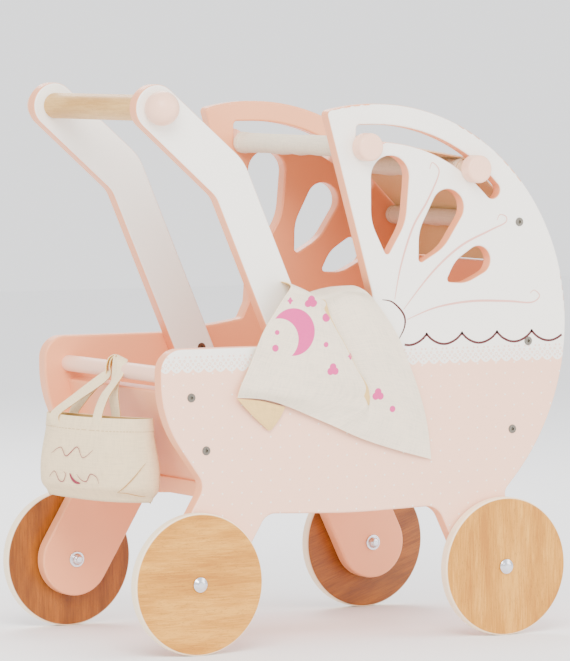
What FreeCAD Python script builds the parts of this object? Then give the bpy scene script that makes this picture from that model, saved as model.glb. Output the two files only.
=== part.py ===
"""Wooden doll stroller: a parametric FreeCAD macro, in millimetres.

Design axes: x from the rear axle towards the hood, y across, z up from the floor.
The handle is at low x, and left is +y. Every piece is placed so that the row's
origin is on the floor, in the middle of the stroller's length.
"""
import FreeCAD
import Part
import math
import os

V = FreeCAD.Vector

# ---------------------------------------------------------------- driving sizes
SIZES = {
    # boards and body
    "board": 15.0,
    "inside_width": 234.0,
    "wall": 12.0,
    "edge_round": 2.2,
    "fit_gap": 0.3,
    "hole_gap": 0.1,
    # running gear
    "wheelbase": 340.0,
    "wheel_radius": 68.0,
    "wheel_width": 12.5,
    "wheel_edge": 2.5,
    "washer_thick": 1.0,
    "bolt_radius": 3.0,
    "bolt_head_radius": 7.5,
    "bolt_head_height": 3.5,
    "leg_half_width": 36.5,
    # side panel outline
    "panel_top": 291.5,
    "panel_rear": -34.5,
    "belly": 129.0,
    "hood_radius": 216.5,
    "hood_overhang": 76.5,
    "hood_centre_z": 306.0,
    # slot for the two bows
    "slot_margin": 34.5,
    "slot_width": 16.5,
    "bow_radius": 8.0,
    "tenon_radius": 4.0,
    "knob_radius": 13.5,
    "knob_length": 16.0,
    # handle
    "handle_x": -30.0,
    "handle_z": 519.5,
    "arm_width": 45.0,
    "grip_radius": 12.5,
    "ball_radius": 16.5,
    # inside the body
    "dowel_radius": 8.0,
    "dowel_depth": 8.0,
    "floor_top": 163.0,
    "hood_rod_radius": 7.0,
    # screws
    "screw_head": 4.2,
    "screw_shank": 2.0,
    "screw_reach": 38.0,
    # soft goods
    "cloth": 1.2,
    "bag_width": 150.0,
    "bag_depth": 34.0,
    "bag_height": 82.0,
    "bag_rim": 222.0,
    "strap_width": 11.5,
    "blanket_thick": 4.0,
}

SEAT = "1.8"                              # depth of a screw head's seat
PIECES = []                               # every sub-part, in the order it is made

doc = FreeCAD.newDocument("doll_stroller")
sheet = doc.addObject("Spreadsheet::Sheet", "Sizes")
for row, (alias, value) in enumerate(SIZES.items(), start=1):
    sheet.set("A%d" % row, alias)
    sheet.set("B%d" % row, "%g" % value)
    sheet.setAlias("B%d" % row, alias)
doc.recompute()


def size(alias):
    """One driving size, read back from the sheet."""
    return float(sheet.get(alias))


# ---------------------------------------------------------------- derived places
BOARD = size("board")
INNER = size("inside_width") / 2          # inner face of a side panel
OUTER = INNER + BOARD                     # outer face of a side panel
ARM_INNER = INNER - BOARD                 # inner face of a handle arm
GAP = size("fit_gap")
HOLE = size("hole_gap")
BASE = size("wheelbase")
WHEEL_R = size("wheel_radius")
HOOD_R = size("hood_radius")
HOOD = (BASE + size("hood_overhang") - HOOD_R, size("hood_centre_z"))
SLOT = (HOOD[0], HOOD[1] + 6.0)
SLOT_R = HOOD_R - size("slot_margin")
SLOT_HALF = size("slot_width") / 2
TENON_R = size("tenon_radius")
BOW_R = size("bow_radius")
AXLES = {"rear": (0.0, WHEEL_R), "front": (BASE, WHEEL_R)}
SIDES = {"left": 1, "right": -1}
CENTRE_X = (HOOD[0] + HOOD_R - WHEEL_R) / 2

# ---------------------------------------------------------------- plane geometry
def polar(centre, radius, degrees):
    angle = math.radians(degrees)
    return (centre[0] + radius * math.cos(angle), centre[1] + radius * math.sin(angle))


def meet(point_a, way_a, point_b, way_b):
    """Where two lines in the x-z plane cross."""
    cross = way_a[0] * way_b[1] - way_a[1] * way_b[0]
    run = ((point_b[0] - point_a[0]) * way_b[1] - (point_b[1] - point_a[1]) * way_b[0]) / cross
    return (point_a[0] + way_a[0] * run, point_a[1] + way_a[1] * run)


def tangent_corner(centre, radius, start, end):
    """The corner whose rounding is this circle's arc, from start to end in degrees."""
    middle = polar(centre, radius / math.cos(math.radians((end - start) / 2)), (start + end) / 2)
    return (middle[0], middle[1], radius)


def outline(corners):
    """A closed run of lines and tangent arcs round corners given as (x, z, radius)."""
    arcs = []
    for index, (x, z, radius) in enumerate(corners):
        here = V(x, z, 0)
        back = (V(*corners[index - 1][:2], 0) - here).normalize()
        ahead = (V(*corners[(index + 1) % len(corners)][:2], 0) - here).normalize()
        if radius == 0:
            arcs.append((here, None, here))
            continue
        half = back.getAngle(ahead) / 2
        reach = radius / math.tan(half)
        inward = (back + ahead).normalize()
        middle = here + inward * (radius / math.sin(half) - radius)
        arcs.append((here + back * reach, middle, here + ahead * reach))
    geometry = []
    for index, (start, middle, end) in enumerate(arcs):
        if middle is not None:
            geometry.append(Part.Arc(start, middle, end))
        following = arcs[(index + 1) % len(arcs)][0]
        if end.distanceToPoint(following) > 1e-3:
            geometry.append(Part.LineSegment(end, following))
    return geometry


def circle(centre, radius):
    return [Part.Circle(V(centre[0], centre[1], 0), V(0, 0, 1), radius)]


# ---------------------------------------------------------------- shared places
NOTCH = polar(SLOT, SLOT_R - 12.4, 94.7)            # front bow at rest
SECOND = polar(SLOT, SLOT_R, 53.5)                  # second bow at rest
SLOT_END = 43.5                                     # rear end of the slot, degrees
HOOD_ROD = polar(HOOD, HOOD_R - 26.0, 31.5)
DOWEL = (size("panel_rear") + 26.5, size("panel_top") - 27.5)
REAR_SCREWS = [(DOWEL[0] + 6.0, DOWEL[1] - 19.0), (DOWEL[0] + 22.0, DOWEL[1] - 70.0)]
WALL_TOP = polar(HOOD, HOOD_R - 31.2, 18.2)
HEAD_SCREWS = [polar(HOOD, HOOD_R - 42.6, -5.9), polar(HOOD, HOOD_R - 29.8, -33.9)]
HUB = (HOOD[0] + 20.0, HOOD[1] + 13.0)              # where the petals point


# ---------------------------------------------------------------- feature helpers
def origin_plane(body, role):
    return [item for item in body.Origin.OriginFeatures if item.Role == role][0]


def new_body(name):
    body = doc.addObject("PartDesign::Body", "Body_" + name)
    body.Label = name
    body.Placement = FreeCAD.Placement(V(-CENTRE_X, 0, 0), FreeCAD.Rotation())
    PIECES.append(body)
    return body


def add_sketch(body, geometry, level, plane="XZ_Plane"):
    """A sketch on an origin plane, moved along the plane's normal to the level.

    The level is a y for XZ_Plane, whose normal is -y, and a z for XY_Plane."""
    sketch = body.newObject("Sketcher::SketchObject", body.Name + "_sketch")
    sketch.AttachmentSupport = [(origin_plane(body, plane), "")]
    sketch.MapMode = "FlatFace"
    sign = "-" if plane == "XZ_Plane" else ""
    sketch.setExpression(".AttachmentOffset.Base.z", "%s(%s)" % (sign, level))
    sketch.addGeometry(geometry, False)
    return sketch


def pad(body, geometry, level, length, plane="XZ_Plane"):
    """A pad from the level, along the plane's normal, with its length from the sheet."""
    sketch = add_sketch(body, geometry, level, plane)
    feature = body.newObject("PartDesign::Pad", body.Name + "_pad")
    feature.Profile = sketch
    feature.setExpression("Length", length)
    return feature


def pocket(body, geometry, level, length, reverse=False, plane="XZ_Plane"):
    """A pocket that has to take material away, from the level."""
    doc.recompute()
    before = body.Shape.Volume
    sketch = add_sketch(body, geometry, level, plane)
    feature = body.newObject("PartDesign::Pocket", body.Name + "_pocket")
    feature.Profile = sketch
    feature.setExpression("Length", length)
    feature.Reversed = reverse
    doc.recompute()
    if body.Shape.Volume > before - 1e-3:
        raise RuntimeError("a pocket in %s cuts nothing" % body.Label)
    return feature


def soften(body, base, wanted, radius):
    """A fillet on the edges of the base that the test accepts."""
    doc.recompute()
    names = ["Edge%d" % (index + 1) for index, edge in enumerate(base.Shape.Edges) if wanted(edge)]
    feature = body.newObject("PartDesign::Fillet", body.Name + "_fillet")
    feature.Base = (base, names)
    feature.setExpression("Radius", radius)
    doc.recompute()
    return feature


def rim(levels, shortest=0.0):
    """Test for the edges that lie in one of the planes y = level."""
    def test(edge):
        box = edge.BoundBox
        flat = box.YMax - box.YMin < 1e-3
        return flat and any(abs(box.YMax - level) < 1e-3 for level in levels) and edge.Length > shortest
    return test


def revolve(body, section, axis):
    """Turn a closed half section, drawn in (y, z), about the line along y through the axis."""
    sketch = body.newObject("Sketcher::SketchObject", body.Name + "_sketch")
    sketch.AttachmentSupport = [(origin_plane(body, "YZ_Plane"), "")]
    sketch.MapMode = "FlatFace"
    sketch.AttachmentOffset = FreeCAD.Placement(V(0, 0, axis[0]), FreeCAD.Rotation())
    sketch.addGeometry(section, False)
    sketch.addGeometry([Part.LineSegment(V(-50, axis[1], 0), V(50, axis[1], 0))], True)
    feature = body.newObject("PartDesign::Revolution", body.Name + "_revolution")
    feature.Profile = sketch
    feature.ReferenceAxis = (sketch, ["Axis0"])
    feature.Angle = 360.0


def turned(name, corners, axis):
    """A solid turned about a line along y; the corners are (y, radius, rounding)."""
    body = new_body(name)
    revolve(body, outline([(y, axis[1] + radius, rounding) for y, radius, rounding in corners]), axis)
    return body


def across(corners, side):
    """The same half section on one side of the stroller: y counts outwards."""
    return [(side * y, radius, rounding) for y, radius, rounding in corners]


# ---------------------------------------------------------------- side panels
def leg_lines(axle, lean):
    """Unit vectors down a leg and square to it, and the two side points at the axle."""
    down = (math.cos(math.radians(lean)), math.sin(math.radians(lean)))
    square = (-down[1], down[0])
    half = size("leg_half_width")
    rear_side = (axle[0] - half * square[0], axle[1] - half * square[1])
    front_side = (axle[0] + half * square[0], axle[1] + half * square[1])
    return down, square, rear_side, front_side


def leg_foot(axle, down, square):
    """The two corners whose roundings make the leg's round end."""
    half = size("leg_half_width")
    end = (axle[0] + half * down[0], axle[1] + half * down[1])
    rear = (end[0] - half * square[0], end[1] - half * square[1], half)
    front = (end[0] + half * square[0], end[1] + half * square[1], half)
    return rear, front


def panel_corners():
    top = size("panel_top")
    rear = size("panel_rear")
    belly = size("belly")
    flank = (rear + 0.5, top - 66.0)                 # where the rear edge turns inwards
    flank_way = (0.585, -0.811)
    down_r, square_r, rear_r, front_r = leg_lines(AXLES["rear"], 239.1)
    foot_r = leg_foot(AXLES["rear"], down_r, square_r)
    down_f, square_f, rear_f, front_f = leg_lines(AXLES["front"], 295.7)
    foot_f = leg_foot(AXLES["front"], down_f, square_f)
    waist = meet(flank, flank_way, rear_r, down_r)
    crotch_r = meet(front_r, down_r, (0, belly + 2.0), (1, 0))
    crotch_f = meet(rear_f, down_f, (0, belly + 1.0), (1, 0))

    low_centre = (HOOD[0] - 11.0, HOOD[1])
    low_radius = HOOD_R + 11.0
    low_angle = math.degrees(math.asin((belly + 24.0 - HOOD[1]) / low_radius))
    low_point = polar(low_centre, low_radius, low_angle)
    low_way = (-math.sin(math.radians(low_angle)), math.cos(math.radians(low_angle)))
    ankle = meet(low_point, low_way, front_f, down_f)

    brow_angle = 103.0
    brow = polar(HOOD, HOOD_R, brow_angle)
    brow_way = (-math.sin(math.radians(brow_angle)), math.cos(math.radians(brow_angle)))
    nose = (HOOD[0] - 3.5, top + 46.5)
    hood_corner = meet(brow, brow_way, nose, (-0.275, 0.9615))
    return [
        (rear, top, 22.0),
        (flank[0], flank[1], 110.0),
        (waist[0], waist[1], 16.0),
        foot_r[0],
        foot_r[1],
        (crotch_r[0], crotch_r[1], 16.0),
        ((crotch_r[0] + crotch_f[0]) / 2, belly - 2.0, 700.0),
        (crotch_f[0], crotch_f[1], 20.0),
        foot_f[0],
        foot_f[1],
        (ankle[0], ankle[1], 10.0),
        tangent_corner(low_centre, low_radius, low_angle, 0.0),
        tangent_corner(HOOD, HOOD_R, 0.0, brow_angle / 2),
        tangent_corner(HOOD, HOOD_R, brow_angle / 2, brow_angle),
        (hood_corner[0], hood_corner[1], 5.0),
        (nose[0], nose[1], 25.0),
        (nose[0] - 1.5, top + 28.0, 9.0),
        (nose[0] - 9.5, top + 11.5, 6.0),
        (nose[0] - 40.0, top + 7.0, 60.0),
        (nose[0] - 98.0, top, 120.0),
    ]


def slot_corners():
    """The arc slot for the bows, with the notch that holds the front bow down."""
    outer = SLOT_R + SLOT_HALF
    inner = SLOT_R - SLOT_HALF
    end = polar(SLOT, SLOT_R, SLOT_END)
    angle = math.radians(SLOT_END)
    past = (SLOT_HALF * math.sin(angle), -SLOT_HALF * math.cos(angle))
    rear_out = (end[0] + past[0] + SLOT_HALF * math.cos(angle),
                end[1] + past[1] + SLOT_HALF * math.sin(angle), 0.95 * SLOT_HALF)
    rear_in = (end[0] + past[0] - SLOT_HALF * math.cos(angle),
               end[1] + past[1] - SLOT_HALF * math.sin(angle), 0.95 * SLOT_HALF)
    wall = NOTCH[0] - SLOT_HALF + 0.6
    floor = NOTCH[1] - TENON_R - GAP
    start = polar(SLOT, outer, 90.0)
    lip = polar(SLOT, inner, 85.0)
    lip_angle = math.radians(85.0)
    middle = (90.0 + SLOT_END) / 2
    middle_in = (85.0 + SLOT_END) / 2
    return [
        (wall, start[1], 4.0),
        tangent_corner(SLOT, outer, 90.0, middle),
        tangent_corner(SLOT, outer, middle, SLOT_END),
        rear_out,
        rear_in,
        tangent_corner(SLOT, inner, SLOT_END, middle_in),
        tangent_corner(SLOT, inner, middle_in, 85.0),
        (lip[0] - 4.0 * math.sin(lip_angle), lip[1] + 4.0 * math.cos(lip_angle), 6.0),
        (NOTCH[0] + SLOT_HALF - 0.5, floor, 3.0),
        (wall, floor, 3.0),
    ]


def petal_corners(tip, head, radius):
    """A teardrop whose tip points to the hub; tip and head centre are offsets from the hub."""
    start = (HUB[0] + tip[0], HUB[1] + tip[1])
    end = (HUB[0] + head[0], HUB[1] + head[1])
    run = math.hypot(end[0] - start[0], end[1] - start[1])
    along = ((end[0] - start[0]) / run, (end[1] - start[1]) / run)

    def place(forward, sideways, rounding):
        return (start[0] + along[0] * forward - along[1] * sideways,
                start[1] + along[1] * forward + along[0] * sideways, rounding)

    shoulder = 0.42 * run
    bulge = 0.86 * radius
    return [
        place(-3.0, 0.0, 3.0),
        place(shoulder, -bulge, 2.2 * radius),
        place(run + radius, -radius, 0.93 * radius),
        place(run + radius, radius, 0.93 * radius),
        place(shoulder, bulge, 2.2 * radius),
    ]


PETALS = [((-7.0, 58.0), (-4.0, 131.0), 22.0),
          ((30.0, 50.0), (60.5, 101.0), 18.8),
          ((62.0, 31.0), (95.0, 49.5), 14.5)]


HANDLE = (size("handle_x"), size("handle_z"))
ARM_SCREWS = [(HANDLE[0] + 163.0, HANDLE[1] - 243.0), (HANDLE[0] + 183.0, HANDLE[1] - 289.0)]


def side_panel(name, side):
    body = new_body("side_panel_" + name)
    geometry = outline(panel_corners()) + outline(slot_corners())
    for petal in PETALS:
        geometry += outline(petal_corners(*petal))
    for axle in AXLES.values():
        geometry += circle(axle, size("bolt_radius") + HOLE)
    screws = REAR_SCREWS + HEAD_SCREWS + [HOOD_ROD]
    for point in screws:
        geometry += circle(point, size("screw_shank") + HOLE)
    inner = "Sizes.inside_width / 2"
    base = pad(body, geometry, inner + " + Sizes.board" if side > 0 else "-(" + inner + ")",
               "Sizes.board")
    soften(body, base, rim([side * INNER, side * OUTER], 14.0), "Sizes.edge_round")
    seats = []
    for point in screws:
        seats += circle(point, size("screw_head") + HOLE)
    outer_face = ("" if side > 0 else "-") + "(" + inner + " + Sizes.board)"
    pocket(body, seats, outer_face, SEAT, reverse=side > 0)
    inner_face = ("" if side > 0 else "-") + "(" + inner + ")"
    pocket(body, circle(DOWEL, size("dowel_radius") + HOLE), inner_face,
           "Sizes.dowel_depth", reverse=side < 0)
    pilots = []
    for point in ARM_SCREWS:
        pilots += circle(point, size("screw_shank") + HOLE)
    pocket(body, pilots, inner_face, "Sizes.board * 0.7", reverse=side < 0)


# ---------------------------------------------------------------- handle
def arm_corners():
    """The arm's outline: a round top at the grip, one bend, and a foot inside the panel."""
    half = size("arm_width") / 2
    slope = (0.76, -0.65)
    square = (0.65, 0.76)
    foot_way = (0.4, -0.9165)
    top = (HANDLE[0] - half * slope[0], HANDLE[1] - half * slope[1])
    upper = (HANDLE[0] + half * square[0], HANDLE[1] + half * square[1])
    lower = (HANDLE[0] - half * square[0], HANDLE[1] - half * square[1])
    knee_back = (HANDLE[0] + 63.0, HANDLE[1] - 85.0)
    knee_front = meet(upper, slope, (knee_back[0] + 42.0 * 0.9165, knee_back[1] + 42.0 * 0.4),
                      foot_way)
    foot = 250.0
    heel = (knee_back[0] + foot * foot_way[0], knee_back[1] + foot * foot_way[1])
    toe = (heel[0] + 42.0 * 0.9165, heel[1] + 42.0 * 0.4)
    return [
        (top[0] - half * square[0], top[1] - half * square[1], 0.99 * half),
        (knee_back[0], knee_back[1], 26.0),
        (heel[0], heel[1], 12.0),
        (toe[0], toe[1], 12.0),
        (knee_front[0], knee_front[1], 50.0),
        (top[0] + half * square[0], top[1] + half * square[1], 0.99 * half),
    ]


def handle_arm(name, side):
    body = new_body("handle_arm_" + name)
    geometry = outline(arm_corners()) + circle(HANDLE, size("screw_shank") * 2 + HOLE)
    for point in ARM_SCREWS:
        geometry += circle(point, size("screw_shank") + HOLE)
    inner = "Sizes.inside_width / 2"
    base = pad(body, geometry, inner if side > 0 else "-(" + inner + " - Sizes.board)",
               "Sizes.board")
    soften(body, base, rim([side * INNER, side * ARM_INNER], 14.0), "Sizes.edge_round")
    seats = []
    for point in ARM_SCREWS:
        seats += circle(point, size("screw_head") + HOLE)
    arm_face = ("" if side > 0 else "-") + "(" + inner + " - Sizes.board)"
    pocket(body, seats, arm_face, SEAT, reverse=side < 0)


def handle_grip():
    """The grip rod, with a thin spigot at each end that runs through the arm into a knob."""
    spigot = size("screw_shank") * 2
    reach = INNER + 8.0
    edge = ARM_INNER
    turned("handle_grip", [
        (-reach, 0, 0), (-reach, spigot, 0.8), (-edge, spigot, 0), (-edge, size("grip_radius"), 1.0),
        (edge, size("grip_radius"), 1.0), (edge, spigot, 0), (reach, spigot, 0.8), (reach, 0, 0),
    ], HANDLE)


def handle_ball(name, side):
    """A ball knob, flat where it meets the arm, bored for the spigot."""
    body = new_body("handle_ball_" + name)
    radius = size("ball_radius")
    centre = INNER + 0.6 * radius
    flat = math.sqrt(radius ** 2 - (centre - INNER) ** 2)
    bore = size("screw_shank") * 2 + HOLE
    depth = INNER + 9.0
    x, z = HANDLE
    points = [V(side * INNER, z + bore, 0), V(side * INNER, z + flat, 0),
              V(side * (centre + radius), z, 0), V(side * depth, z, 0), V(side * depth, z + bore, 0)]
    lean = math.radians(60)
    middle = V(side * (centre + radius * math.cos(lean)), z + radius * math.sin(lean), 0)
    section = [Part.LineSegment(points[0], points[1]), Part.Arc(points[1], middle, points[2]),
               Part.LineSegment(points[2], points[3]), Part.LineSegment(points[3], points[4]),
               Part.LineSegment(points[4], points[0])]
    revolve(body, section, HANDLE)


# ---------------------------------------------------------------- rods and walls
def rear_dowel():
    end = INNER + size("dowel_depth") - GAP
    radius = size("dowel_radius")
    turned("rear_dowel", [(-end, 0, 0), (-end, radius, 1.0), (end, radius, 1.0), (end, 0, 0)], DOWEL)


def hood_rod():
    """The fixed rod at the back of the hood, with a pilot bore at each end for its screw."""
    radius = size("hood_rod_radius")
    pilot = size("screw_shank") + HOLE
    bottom = INNER - size("screw_reach") + size("board")
    turned("fixed_hood_rod", [
        (-INNER, pilot, 0), (-INNER, radius, 0.6), (INNER, radius, 0.6), (INNER, pilot, 0),
        (bottom, pilot, 0), (bottom, 0, 0), (-bottom, 0, 0), (-bottom, pilot, 0),
    ], HOOD_ROD)


def across_body(name, geometry, pilots=()):
    """A board that spans the two side panels, with pilot holes for the side screws."""
    body = new_body(name)
    holes = []
    for point in pilots:
        holes += circle(point, size("screw_shank") + HOLE)
    pad(body, geometry, "Sizes.inside_width / 2", "Sizes.inside_width")
    if holes:
        depth = "Sizes.screw_reach - Sizes.board"
        pocket(body, holes, "Sizes.inside_width / 2", depth, reverse=True)
        pocket(body, list(holes), "-Sizes.inside_width / 2", depth)
    return body


def rear_wall_line():
    """A point on the rear wall's middle line, and the unit vector down it."""
    high, low = REAR_SCREWS
    run = math.hypot(low[0] - high[0], low[1] - high[1])
    return high, ((low[0] - high[0]) / run, (low[1] - high[1]) / run)


def rear_wall():
    half = size("wall") / 2
    high, down = rear_wall_line()
    square = (-down[1], down[0])
    top = (high[0] - 5.0 * down[0], high[1] - 5.0 * down[1])
    outer = meet((high[0] - half * square[0], high[1] - half * square[1]), down,
                 (0, size("floor_top")), (1, 0))
    inner = meet((high[0] + half * square[0], high[1] + half * square[1]), down,
                 (0, size("floor_top")), (1, 0))
    corners = [
        (top[0] - half * square[0], top[1] - half * square[1], 2.0),
        (outer[0], outer[1], 0), (inner[0], inner[1], 0),
        (top[0] + half * square[0], top[1] + half * square[1], 2.0),
    ]
    across_body("handle_end_wall", outline(corners), REAR_SCREWS)
    return outer[0]


def head_wall():
    """A curved board whose middle line is the arc through its top and its two screws."""
    half = size("wall") / 2
    high, low = HEAD_SCREWS
    centre = Part.Circle(V(*WALL_TOP, 0), V(*high, 0), V(*low, 0)).Center
    radius = centre.distanceToPoint(V(*WALL_TOP, 0))
    top_angle = math.degrees(math.atan2(WALL_TOP[1] - centre.y, WALL_TOP[0] - centre.x))
    foot_angle = math.degrees(math.asin((size("floor_top") - centre.y) / radius))
    middle = (top_angle + foot_angle) / 2
    focus = (centre.x, centre.y)

    def at(extra, angle):
        return V(*polar(focus, radius + extra, angle), 0)

    def foot(extra):
        drop = math.degrees(math.asin((size("floor_top") - centre.y) / (radius + extra)))
        return at(extra, drop)

    geometry = [
        Part.Arc(at(half, top_angle), at(half, middle), foot(half)),
        Part.LineSegment(foot(half), foot(-half)),
        Part.Arc(foot(-half), at(-half, middle), at(-half, top_angle)),
        Part.LineSegment(at(-half, top_angle), at(half, top_angle)),
    ]
    across_body("head_end_wall", geometry, HEAD_SCREWS)
    return foot(half).x


def floor_panel(rear, front):
    top = size("floor_top")
    low = top - size("board")
    corners = [(rear, low, 1.5), (front, low, 1.5), (front, top, 0), (rear, top, 1.5)]
    across_body("floor_panel", outline(corners))


# ---------------------------------------------------------------- bows of the hood
def bow(name, place):
    """A rod between the panels, with a tenon at each end through the slot into a knob."""
    shoulder = INNER - GAP
    end = OUTER + GAP + 9.0
    turned(name + "_rod", [
        (-end, 0, 0), (-end, TENON_R, 0.8), (-shoulder, TENON_R, 0), (-shoulder, BOW_R, 0.8),
        (shoulder, BOW_R, 0.8), (shoulder, TENON_R, 0), (end, TENON_R, 0.8), (end, 0, 0),
    ], place)
    inner = OUTER + GAP
    outer = inner + size("knob_length")
    knob = size("knob_radius")
    bore = TENON_R + HOLE
    for side_name, side in SIDES.items():
        turned(name + "_knob_" + side_name, across([
            (inner, bore, 0), (inner, knob, 2.0), (outer, knob, 3.0), (outer, 0, 0),
            (end + 0.5, 0, 0), (end + 0.5, bore, 0),
        ], side), place)


# ---------------------------------------------------------------- running gear
def wheel_set(end_name, side_name, axle, side):
    radius = size("bolt_radius")
    washer = size("washer_thick")
    near = OUTER + washer + 0.2
    far = near + size("wheel_width")
    edge = size("wheel_edge")
    label = end_name + "_" + side_name
    turned("wheel_" + label, across([
        (near, radius + 0.08, 0), (near, WHEEL_R, edge), (far, WHEEL_R, edge), (far, radius + 0.08, 0),
    ], side), axle)
    head = size("bolt_head_radius")
    high = size("bolt_head_height")
    seat = far + 0.2
    tip = INNER - 4.0
    turned("axle_bolt_" + label, across([
        (tip, 0, 0), (tip, radius, 0.6), (seat, radius, 0), (seat, head, 0.4),
        (seat + 0.35 * high, head, 1.2), (seat + high, 0.45 * head, 5.0), (seat + high, 0, 0),
    ], side), axle)
    inner = INNER
    turned("cap_nut_" + label, across([
        (inner, radius + HOLE, 0), (inner, head + 0.5, 0.4), (inner - 1.4, head + 0.5, 0.6),
        (inner - 1.4, 0.75 * head, 0.6), (inner - 6.0, 0.62 * head, 3.0), (inner - 6.0, 0, 0),
        (tip - 0.4, 0, 0), (tip - 0.4, radius + HOLE, 0),
    ], side), axle)
    turned("washer_" + label, across([
        (OUTER, radius + HOLE, 0), (OUTER, 9.0, 0.3), (OUTER + washer, 9.0, 0.3),
        (OUTER + washer, radius + HOLE, 0),
    ], side), axle)


# ---------------------------------------------------------------- screws
def screw(point, face, way, reach):
    """A socket screw: a flush head in its seat, a shank, and a hexagonal socket."""
    head = size("screw_head")
    shank = size("screw_shank")
    deep = 2.4
    start = V(point[0], face, point[1])
    body = Part.makeCylinder(head, deep, start - way * deep, way)
    body = body.fuse(Part.makeCylinder(shank, reach - deep, start - way * reach, way))
    corners = [start + V(1.7 * math.cos(math.radians(60 * k)), 0, 1.7 * math.sin(math.radians(60 * k)))
               for k in range(7)]
    socket = Part.Face(Part.makePolygon(corners)).extrude(way * -1.6)
    return body.cut(socket).removeSplitter()


def screw_group(name, points, face, way, reach):
    feature = doc.addObject("Part::Feature", "Part_" + name)
    feature.Label = name
    feature.Shape = Part.makeCompound([screw(point, face, way, reach) for point in points])
    feature.Placement = FreeCAD.Placement(V(-CENTRE_X, 0, 0), FreeCAD.Rotation())
    PIECES.append(feature)


# ---------------------------------------------------------------- soft goods
def sleeve(name, place, rod_radius, inset):
    """The canopy's tube of cloth round a rod."""
    bore = rod_radius + GAP
    skin = bore + size("cloth")
    half = INNER - inset
    turned(name, [(-half, bore, 0), (-half, skin, 0.3), (half, skin, 0.3), (half, bore, 0)], place)


def strip(start, end, start_clear, end_clear, half):
    """The four corners of a thin straight strip between two places in the x-z plane."""
    run = math.hypot(end[0] - start[0], end[1] - start[1])
    along = ((end[0] - start[0]) / run, (end[1] - start[1]) / run)
    square = (-along[1], along[0])

    def place(forward, sideways):
        return (start[0] + along[0] * forward + square[0] * sideways,
                start[1] + along[1] * forward + square[1] * sideways, 0)

    return [place(start_clear, -half), place(run - end_clear, -half),
            place(run - end_clear, half), place(start_clear, half)]


def bay(name, start, end, start_clear, end_clear, inset):
    """A flat stretch of canopy between two places in the x-z plane."""
    body = new_body(name)
    corners = strip(start, end, start_clear, end_clear, size("cloth") * 0.75)
    pad(body, outline(corners), "Sizes.inside_width / 2 - %g" % inset,
        "Sizes.inside_width - %g" % (2 * inset))


def canopy():
    """One cloth: sleeves round the two bows and the fixed rod, and three bays."""
    inset = 1.5
    rod = size("hood_rod_radius")
    cloth = size("cloth")
    sleeve("canopy_front_sleeve", NOTCH, BOW_R, inset)
    sleeve("canopy_middle_sleeve", SECOND, BOW_R, inset)
    sleeve("canopy_rear_sleeve", HOOD_ROD, rod, inset)
    bow_clear = BOW_R + cloth + 2 * GAP
    rod_clear = rod + cloth + 2 * GAP
    bay("canopy_front_bay", NOTCH, SECOND, bow_clear, bow_clear, inset)
    bay("canopy_middle_bay", SECOND, HOOD_ROD, bow_clear, rod_clear, inset)
    bay("canopy_rear_bay", HOOD_ROD, WALL_TOP, rod_clear, GAP, inset)


def turn_about_z(degrees, centre):
    return FreeCAD.Placement(V(centre[0] - CENTRE_X, centre[1], 0),
                             FreeCAD.Rotation(V(0, 0, 1), degrees))


BAG_TURN = 19.0                            # the bag hangs turned from the dowel, degrees
BAG_PLACE = (DOWEL[0] - 29.0, -8.0)        # the bag's middle, x and y


def bag():
    """An open-topped cloth bag, deepest in the middle, hollowed from its rim."""
    body = new_body("bag")
    body.Placement = turn_about_z(BAG_TURN, BAG_PLACE)
    half_width = size("bag_width") / 2
    half_depth = size("bag_depth") / 2
    cloth = size("cloth") * 1.25

    def ring(shrink, rounding):
        wide = half_width - shrink
        deep = half_depth - shrink
        end = 0.42 * half_depth - shrink
        shoulder = 0.4 * half_width
        quarter = [(end, wide, rounding), (deep, shoulder, 40.0)]
        right = [(x, -y, r) for x, y, r in quarter] + quarter[::-1]
        return outline(right + [(-x, -y, r) for x, y, r in right])

    low = "Sizes.bag_rim - Sizes.bag_height"
    base = pad(body, ring(0, 5.0), low, "Sizes.bag_height", plane="XY_Plane")
    doc.recompute()
    floor_edges = []
    for index, edge in enumerate(base.Shape.Edges):
        box = edge.BoundBox
        if box.ZMax < size("bag_rim") - size("bag_height") + 1e-3:
            floor_edges.append("Edge%d" % (index + 1))
    feature = body.newObject("PartDesign::Fillet", body.Name + "_fillet")
    feature.Base = (base, floor_edges)
    feature.Radius = 4.0
    pocket(body, ring(cloth, 5.0 - cloth), "Sizes.bag_rim",
           "Sizes.bag_height - 2 * Sizes.cloth", plane="XY_Plane")


def bag_wall_x(local_x, y):
    """The x of a line in the bag's wall, given its own x and the stroller's y."""
    turn = math.radians(BAG_TURN)
    return BAG_PLACE[0] + local_x / math.cos(turn) - math.tan(turn) * (y - BAG_PLACE[1])


def strap(name, y):
    """A strap round the dowel, with a leg down to the rim of each of the bag's walls."""
    body = new_body(name)
    thick = size("cloth") * 1.25
    inner = size("dowel_radius") + GAP
    middle = inner + thick / 2
    level = "%g + Sizes.strap_width / 2" % y
    pad(body, circle(DOWEL, inner + thick) + circle(DOWEL, inner), level, "Sizes.strap_width")
    rim_z = size("bag_rim") + GAP
    wall = size("bag_depth") / 2 - thick / 2
    for local_x, leave in ((-wall, 175.0), (wall, 235.0)):
        foot = (bag_wall_x(local_x, y), rim_z)
        pad(body, outline(strip(polar(DOWEL, middle, leave), foot, 0, 0, thick / 2)), level,
            "Sizes.strap_width")


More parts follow.
